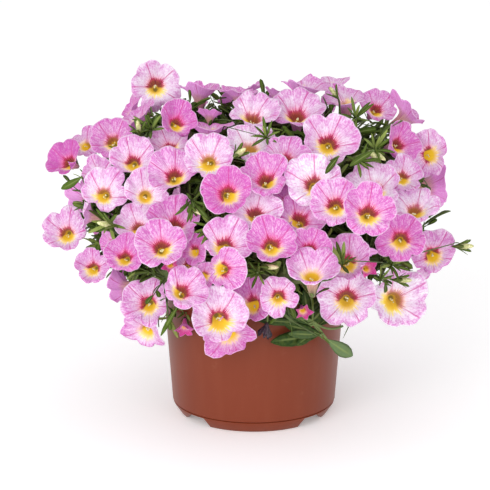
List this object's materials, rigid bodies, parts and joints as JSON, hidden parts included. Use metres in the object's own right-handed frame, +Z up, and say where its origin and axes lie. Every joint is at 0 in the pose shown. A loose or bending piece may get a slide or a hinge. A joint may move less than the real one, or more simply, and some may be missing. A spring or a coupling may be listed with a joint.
{
  "type": "potted calibrachoa",
  "caption": "Calibrachoa in bloom: a low dome of funnel flowers on thin stalks over leafy branches, rooted in the soil of a round, slightly tapered plastic pot on four feet.",
  "frame": {"origin": "on the pot's axis, on the surface that the pot's feet stand on, under the middle of the whole plant", "axes": "+Z up along the pot's axis, the plant's front faces -Y, and its longest spread runs along X"},
  "size_m": [0.2928, 0.2823, 0.2344],
  "materials": {
    "pot": "satin terracotta-brown",
    "soil": "loose dark potting soil, matte",
    "petals": "living petals, soft matte pink, on green stalks",
    "leaves": "living leaves and stems, satin green"
  },
  "bodies": {
    "root": {"branch_crown_1": "leaves", "branch_high_1": "leaves", "branch_high_2": "leaves", "branch_high_3": "leaves", "branch_high_4": "leaves", "branch_high_5": "leaves", "branch_low_1": "leaves", "branch_low_2": "leaves", "branch_low_3": "leaves", "branch_low_4": "leaves", "branch_low_5": "leaves", "branch_low_6": "leaves", "branch_low_7": "leaves", "pot": "pot", "soil": "soil", "spray_crown_1_1": "petals", "spray_high_1_1": "petals", "spray_high_1_2": "petals", "spray_high_2_1": "petals", "spray_high_2_2": "petals", "spray_high_2_3": "petals", "spray_high_3_1": "petals", "spray_high_4_1": "petals", "spray_high_4_2": "petals", "spray_high_4_3": "petals", "spray_high_5_1": "petals", "spray_high_5_2": "petals", "spray_high_5_3": "petals", "spray_low_1_1": "petals", "spray_low_1_2": "petals", "spray_low_1_3": "petals", "spray_low_1_4": "petals", "spray_low_2_1": "petals", "spray_low_2_2": "petals", "spray_low_3_1": "petals", "spray_low_3_2": "petals", "spray_low_3_3": "petals", "spray_low_4_1": "petals", "spray_low_4_2": "petals", "spray_low_4_3": "petals", "spray_low_4_4": "petals", "spray_low_5_1": "petals", "spray_low_5_2": "petals", "spray_low_5_3": "petals", "spray_low_5_4": "petals", "spray_low_6_1": "petals", "spray_low_6_2": "petals", "spray_low_6_3": "petals", "spray_low_6_4": "petals", "spray_low_7_1": "petals", "spray_low_7_2": "petals", "spray_low_7_3": "petals", "spray_low_7_4": "petals"}
  },
  "joints": []
}
